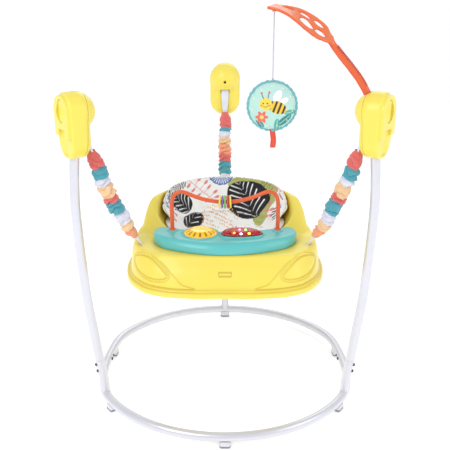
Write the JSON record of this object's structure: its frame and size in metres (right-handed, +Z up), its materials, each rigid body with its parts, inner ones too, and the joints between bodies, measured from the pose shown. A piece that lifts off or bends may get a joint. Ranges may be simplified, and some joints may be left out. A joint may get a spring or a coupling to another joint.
{
  "type": "activity jumper",
  "caption": "Baby activity jumper: tube floor ring with upright legs, spring-hung play tray with padded fabric seat, beads on a bar, spinner, light pad and a toy hung from an arm.",
  "frame": {"origin": "bottom centre of the bounding box, on the floor, 35.5 mm behind the centre of the floor ring", "axes": "+Z up, -Y to the front (the side the play tray's toys face), +X to the right as seen from the front, the side with the toy arm"},
  "size_m": [0.853, 0.839, 1.1008],
  "materials": {
    "steel_tube": "glossy powder coat, white-grey",
    "bolt_steel": "dark zinc",
    "foot_plastic": "satin light grey",
    "yellow_plastic": "smooth moulded, light yellow",
    "webbing": "woven webbing, off-white",
    "spring_steel": "drawn wire",
    "cover_fabric": "gathered polyester, printed stripes",
    "seat_ring_plastic": "moulded",
    "seat_fabric": "quilted polyester, printed leaves on white",
    "teal_plastic": "smooth moulded, teal",
    "orange_plastic": "smooth moulded, orange",
    "bead_yellow": "moulded",
    "bead_purple": "moulded",
    "bead_green": "moulded",
    "bead_red": "moulded",
    "amber_clear": "clear amber plastic",
    "flower_green": "moulded",
    "red_clear": "clear dark red plastic",
    "circuit_board": "resist green",
    "white_plastic": "moulded",
    "cord_nylon": "thin braided cord",
    "toy_fabric": "plush and felt"
  },
  "bodies": {
    "frame": {"base_tube_front": "steel_tube", "base_tube_rear": "steel_tube", "base_bolt_left_front": "bolt_steel", "base_bolt_left_rear": "bolt_steel", "base_bolt_right_front": "bolt_steel", "base_bolt_right_rear": "bolt_steel", "foot_front": "foot_plastic", "foot_rear": "foot_plastic", "foot_front_left": "foot_plastic", "foot_front_right": "foot_plastic", "foot_rear_left": "foot_plastic", "foot_rear_right": "foot_plastic", "leg_tube_left": "steel_tube", "leg_tube_right": "steel_tube", "leg_tube_rear": "steel_tube", "leg_bolt_left_upper": "bolt_steel", "leg_bolt_left_lower": "bolt_steel", "leg_bolt_right_upper": "bolt_steel", "leg_bolt_right_lower": "bolt_steel", "leg_bolt_rear_upper": "bolt_steel", "leg_bolt_rear_lower": "bolt_steel", "housing_inner_left": "yellow_plastic", "housing_inner_right": "yellow_plastic", "housing_inner_rear": "yellow_plastic", "housing_outer_left": "yellow_plastic", "housing_outer_right": "yellow_plastic", "housing_outer_rear": "yellow_plastic", "upper_strap_left": "webbing", "upper_strap_right": "webbing", "upper_strap_rear": "webbing", "coil_spring_left": "spring_steel", "coil_spring_right": "spring_steel", "coil_spring_rear": "spring_steel", "spring_cover_left": "cover_fabric", "spring_cover_right": "cover_fabric", "spring_cover_rear": "cover_fabric"},
    "tray": {"tray_strap_left": "webbing", "tray_strap_right": "webbing", "tray_strap_rear": "webbing", "tray_shell": "yellow_plastic", "seat_ring": "seat_ring_plastic", "seat_sling": "seat_fabric", "seat_back_pad": "seat_fabric", "toy_tray": "teal_plastic", "bead_bar": "orange_plastic", "lamp_board": "circuit_board", "battery_box": "white_plastic", "battery_door": "white_plastic"},
    "beads": {"bead_1": "bead_yellow", "bead_2": "bead_purple", "bead_3": "bead_green", "bead_4": "bead_red", "bead_5": "bead_yellow"},
    "spinner": {"spinner_dome": "amber_clear", "spinner_flower": "flower_green"},
    "light": {"light_cover": "red_clear"},
    "arm": {"toy_arm": "orange_plastic"},
    "toy": {"toy_cord": "cord_nylon", "hanging_toy": "toy_fabric"}
  },
  "joints": [
    {"name": "seat_bounce", "type": "slide", "parent": "frame", "child": "tray", "axis": [0, 0, 1], "range_m": [-0.1, 0.02], "stiffness_N_per_m": 1400, "springref_m": 0.0183, "deforming": ["spring_cover_left", "spring_cover_right", "spring_cover_rear", "coil_spring_left", "coil_spring_right", "coil_spring_rear"]},
    {"name": "bead_slide", "type": "hinge", "parent": "tray", "child": "beads", "pos_m": [0, -0.1235, 0.8085], "axis": [0, 1, 0], "range_deg": [-16, 16]},
    {"name": "spinner_spin", "type": "hinge", "parent": "tray", "child": "spinner", "pos_m": [-0.067, -0.1455, 0.503], "axis": [0, 0, 1], "continuous": true},
    {"name": "light_press", "type": "slide", "parent": "tray", "child": "light", "axis": [0, 0, -1], "range_m": [0, 0.002], "stiffness_N_per_m": 800, "springref_m": -0.002},
    {"name": "arm_swivel", "type": "hinge", "parent": "frame", "child": "arm", "pos_m": [0.355, -0.2058, 0.884], "axis": [0, 0, 1], "range_deg": [-45, 45]},
    {"name": "toy_swing", "type": "hinge", "parent": "arm", "child": "toy", "pos_m": [0.117, -0.2058, 1.0833], "axis": [0, 1, 0], "range_deg": [-25, 25]}
  ]
}
